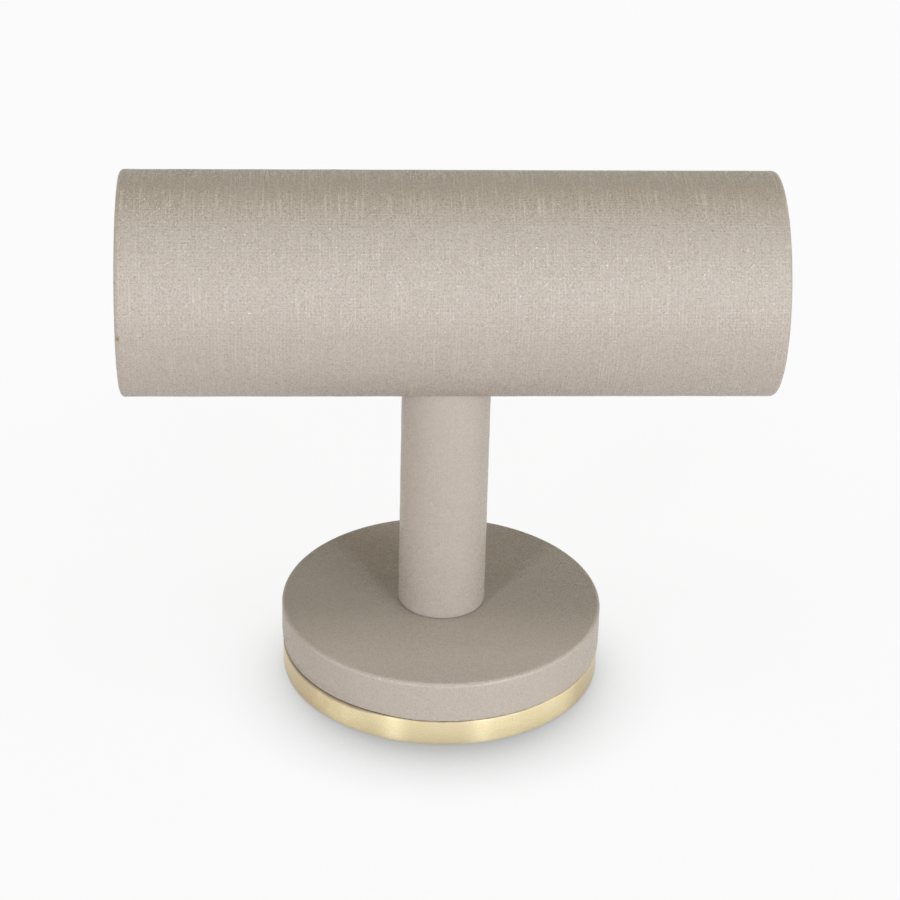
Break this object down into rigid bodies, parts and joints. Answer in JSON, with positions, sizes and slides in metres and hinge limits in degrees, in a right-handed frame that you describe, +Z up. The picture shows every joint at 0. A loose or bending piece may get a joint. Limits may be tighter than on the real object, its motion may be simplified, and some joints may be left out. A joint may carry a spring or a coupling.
{
  "type": "bracelet display stand",
  "caption": "T-shaped counter stand: a round bar covered in leatherette, on a short post and a round weighted base, that shows bracelets and bangles slipped over the bar.",
  "frame": {"origin": "centre of the round base, on the surface that the stand rests on", "axes": "+X along the bar, +Y away from the viewer, +Z up along the post"},
  "size_m": [0.165, 0.085, 0.1405],
  "materials": {
    "leatherette": "satin",
    "gold_metal": "satin",
    "tube_board": "matte",
    "wood": "matte",
    "zinc_steel": "satin",
    "felt": "matte"
  },
  "bodies": {
    "root": {"bar_tube": "tube_board", "bar_cover": "leatherette", "left_end_board": "tube_board", "left_end_cover": "leatherette", "right_end_board": "tube_board", "right_end_cover": "leatherette", "saddle_block": "wood", "tie_bolt": "zinc_steel", "post_core": "wood", "post_cover": "leatherette", "base_board": "wood", "base_cover": "leatherette", "filler_card": "tube_board", "trim_plate": "gold_metal", "clamp_washer": "zinc_steel", "clamp_nut": "zinc_steel", "base_pad": "felt"}
  },
  "joints": []
}
